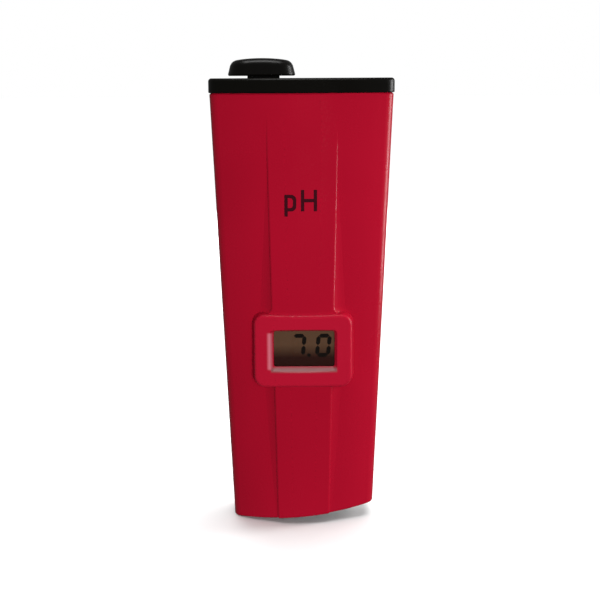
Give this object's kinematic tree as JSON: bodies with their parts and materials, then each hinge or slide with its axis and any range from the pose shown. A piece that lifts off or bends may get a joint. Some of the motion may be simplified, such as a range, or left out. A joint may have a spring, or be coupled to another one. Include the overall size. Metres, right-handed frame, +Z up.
{
  "type": "ph meter",
  "caption": "Pocket pH tester with a tapered housing, framed display window, slide knob on its lid and a capped electrode in an open lower skirt.",
  "frame": {"origin": "on the flat foot of the storage cap, straight below the middle of the lid", "axes": "+Z up along the length towards the lid, the display faces -Y, +X to the right as the display is read"},
  "size_m": [0.0412, 0.0236, 0.1062],
  "materials": {
    "housing": "satin moulded red plastic",
    "lid_plastic": "satin black plastic",
    "knob_plastic": "smooth black plastic",
    "black_plastic": "matte black plastic",
    "screw_steel": "zinc plated",
    "board": "solder mask",
    "black_resin": "cast resin",
    "ceramic_part": "chip resistor",
    "capacitor_can": "sleeved can",
    "switch_metal": "tinned",
    "holder_plastic": "moulded",
    "contact_metal": "nickel plated brass",
    "electrode_resin": "smooth epoxy",
    "clear_glass": "clear",
    "silver_wire": "drawn wire",
    "junction_ceramic": "porous ceramic",
    "seal_rubber": "soft",
    "clear_window": "clear",
    "lcd_glass": "clear",
    "reflector_film": "grey brown film",
    "zebra_rubber": "layered",
    "wire_white": "insulated",
    "wire_black": "insulated",
    "trimmer_blue": "moulded",
    "trimmer_rotor": "brass",
    "cell_steel": "nickel plated"
  },
  "bodies": {
    "housing": {"front_shell": "housing", "rear_shell": "housing", "housing_screws": "screw_steel", "main_board": "board", "board_screws": "screw_steel", "meter_chip_blob": "black_resin", "opamp_package": "black_resin", "resistors": "ceramic_part", "capacitors": "capacitor_can", "slide_switch_body": "switch_metal", "battery_holder": "holder_plastic", "battery_positive_contact": "contact_metal", "battery_negative_spring": "contact_metal", "electrode_bulkhead": "holder_plastic", "electrode_body": "electrode_resin", "glass_membrane": "clear_glass", "inner_reference_wire": "silver_wire", "reference_junction": "junction_ceramic", "electrode_o_ring": "seal_rubber", "display_window": "clear_window", "lcd_front_glass": "lcd_glass", "lcd_rear_glass": "lcd_glass", "lcd_reflector": "reflector_film", "lcd_frame": "holder_plastic", "zebra_strip_lower": "zebra_rubber", "zebra_strip_upper": "zebra_rubber", "signal_lead": "wire_white", "reference_lead": "wire_black", "trimmer_body_lower": "trimmer_blue", "trimmer_body_upper": "trimmer_blue", "button_cell_1": "cell_steel", "button_cell_2": "cell_steel", "button_cell_3": "cell_steel"},
    "switch_lever": {"slide_switch_lever": "black_plastic"},
    "lid": {"top_lid": "lid_plastic", "lid_gasket": "seal_rubber"},
    "knob": {"power_knob": "knob_plastic", "knob_fork": "black_plastic"},
    "cap": {"storage_cap": "black_plastic", "storage_cap_seal": "seal_rubber"},
    "rotor_lower": {"trimmer_rotor_lower": "trimmer_rotor"},
    "rotor_upper": {"trimmer_rotor_upper": "trimmer_rotor"}
  },
  "joints": [
    {"name": "lid_lift", "type": "slide", "parent": "housing", "child": "lid", "axis": [0, 0, 1], "range_m": [0, 0.025]},
    {"name": "knob_slide", "type": "slide", "parent": "lid", "child": "knob", "axis": [1, 0, 0], "range_m": [0, 0.0032]},
    {"name": "switch_lever_slide", "type": "slide", "parent": "housing", "child": "switch_lever", "axis": [1, 0, 0], "range_m": [0, 0.0032]},
    {"name": "trimmer_turn_lower", "type": "hinge", "parent": "housing", "child": "rotor_lower", "pos_m": [-0.007, 0, 0.062], "axis": [0, 1, 0], "range_deg": [-120, 120]},
    {"name": "trimmer_turn_upper", "type": "hinge", "parent": "housing", "child": "rotor_upper", "pos_m": [-0.007, 0, 0.073], "axis": [0, 1, 0], "range_deg": [-120, 120]},
    {"name": "cap_pull", "type": "slide", "parent": "housing", "child": "cap", "axis": [0, 0, -1], "range_m": [0, 0.018]}
  ],
  "couplings": [
    {"joint": "switch_lever_slide", "follows": "knob_slide", "ratio": 1}
  ]
}
